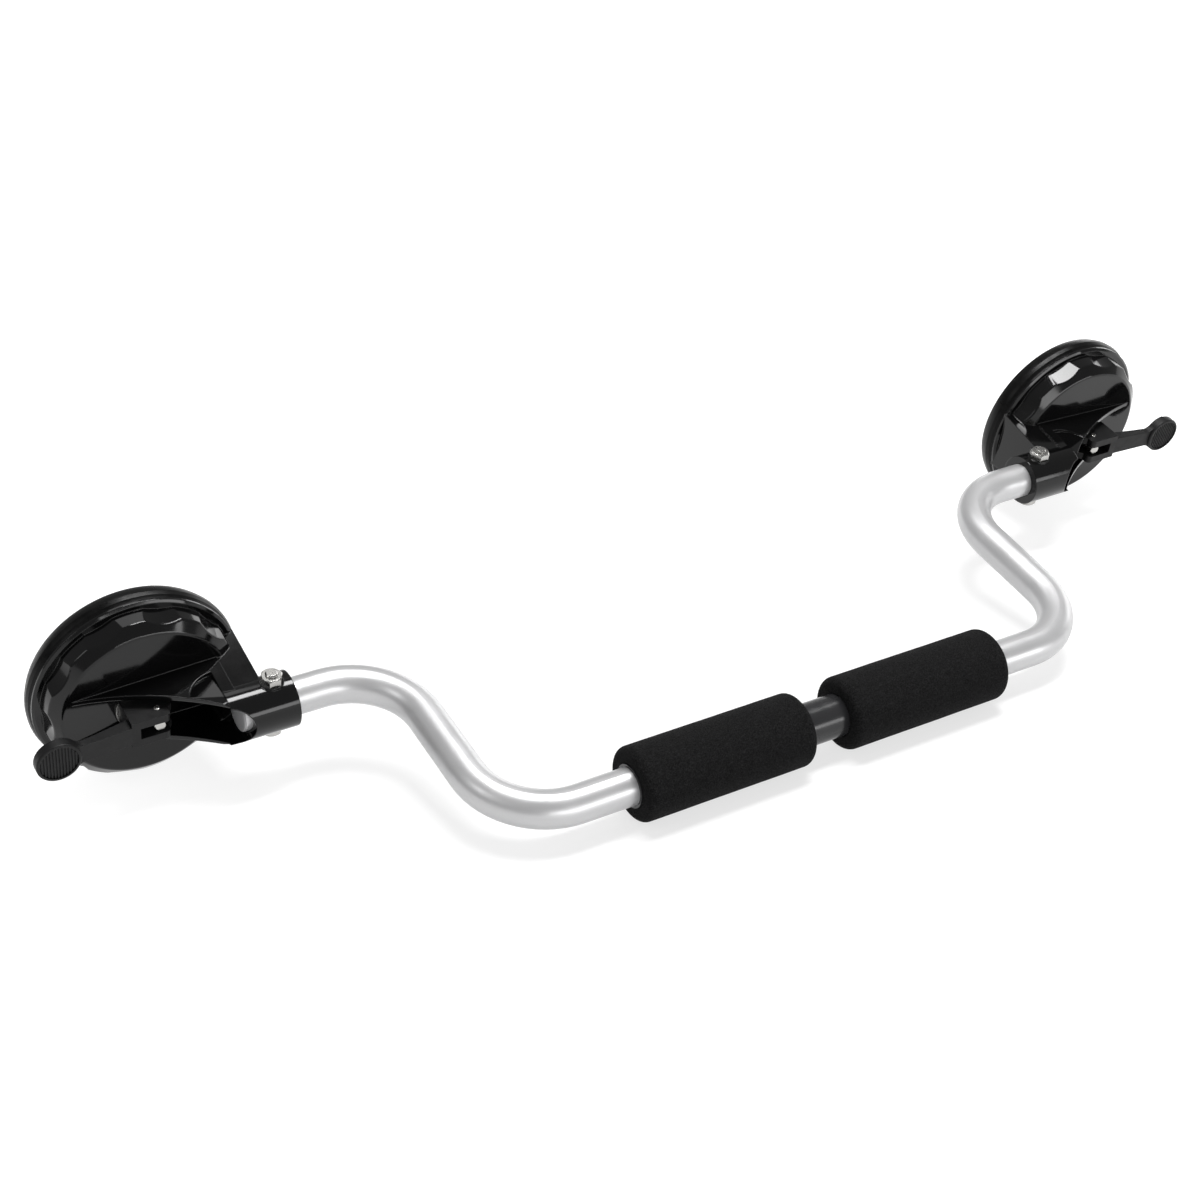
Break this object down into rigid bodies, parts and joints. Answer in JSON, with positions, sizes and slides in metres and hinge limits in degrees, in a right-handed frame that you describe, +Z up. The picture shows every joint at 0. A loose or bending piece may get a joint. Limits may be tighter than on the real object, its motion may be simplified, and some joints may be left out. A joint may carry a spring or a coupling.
{
  "type": "pull up bar",
  "caption": "Suction-mounted pull bar: bent steel tube offset from the wall, free-spinning foam roller, and lever-locked suction cups at both ends.",
  "frame": {"origin": "bottom centre of the whole object's bounding box, on the floor that the roller and both rubber rims rest on", "axes": "+X along the bar from the left to the right suction head, +Y from the roller towards the suction faces, +Z up from the floor"},
  "size_m": [0.9286, 0.2568, 0.1359],
  "materials": {
    "satin_steel": "satin",
    "bright_steel": "polished",
    "sleeve_plastic": "gloss",
    "foam": "matte",
    "housing_plastic": "gloss",
    "lever_plastic": "satin",
    "cup_rubber": "matte",
    "grey_plastic": "matte"
  },
  "bodies": {
    "frame": {"bent_tube": "satin_steel", "left_tube_plug": "grey_plastic", "left_housing": "housing_plastic", "left_suction_cup": "cup_rubber", "left_wear_plate": "bright_steel", "left_socket_bolt": "bright_steel", "left_socket_nut": "bright_steel", "right_tube_plug": "grey_plastic", "right_housing": "housing_plastic", "right_suction_cup": "cup_rubber", "right_wear_plate": "bright_steel", "right_socket_bolt": "bright_steel", "right_socket_nut": "bright_steel"},
    "roller": {"roller_sleeve": "sleeve_plastic", "left_foam_grip": "foam", "right_foam_grip": "foam"},
    "left_stud": {"left_pull_stud": "bright_steel", "left_anchor_plate": "bright_steel"},
    "left_lever": {"left_lever": "lever_plastic", "left_lever_pin": "bright_steel"},
    "right_stud": {"right_pull_stud": "bright_steel", "right_anchor_plate": "bright_steel"},
    "right_lever": {"right_lever": "lever_plastic", "right_lever_pin": "bright_steel"}
  },
  "joints": [
    {"name": "roller_spin", "type": "hinge", "parent": "frame", "child": "roller", "pos_m": [0, -0.10338, 0.025], "axis": [1, 0, 0], "continuous": true},
    {"name": "left_stud_slide", "type": "slide", "parent": "frame", "child": "left_stud", "axis": [0, 0.9796, 0.2012], "range_m": [0, 0.0055], "deforming": ["left_suction_cup"]},
    {"name": "left_lever_flip", "type": "hinge", "parent": "left_stud", "child": "left_lever", "pos_m": [-0.3835, 0.0651, 0.0596], "axis": [0, -0.2012, 0.9796], "range_deg": [0, 90]},
    {"name": "right_stud_slide", "type": "slide", "parent": "frame", "child": "right_stud", "axis": [0, 0.9796, 0.2012], "range_m": [0, 0.0055], "deforming": ["right_suction_cup"]},
    {"name": "right_lever_flip", "type": "hinge", "parent": "right_stud", "child": "right_lever", "pos_m": [0.3835, 0.0651, 0.0596], "axis": [0, 0.2012, -0.9796], "range_deg": [0, 90]}
  ],
  "couplings": [
    {"joint": "left_stud_slide", "follows": "left_lever_flip", "m_per_rad": 0.0035014},
    {"joint": "right_stud_slide", "follows": "right_lever_flip", "m_per_rad": 0.0035014}
  ]
}
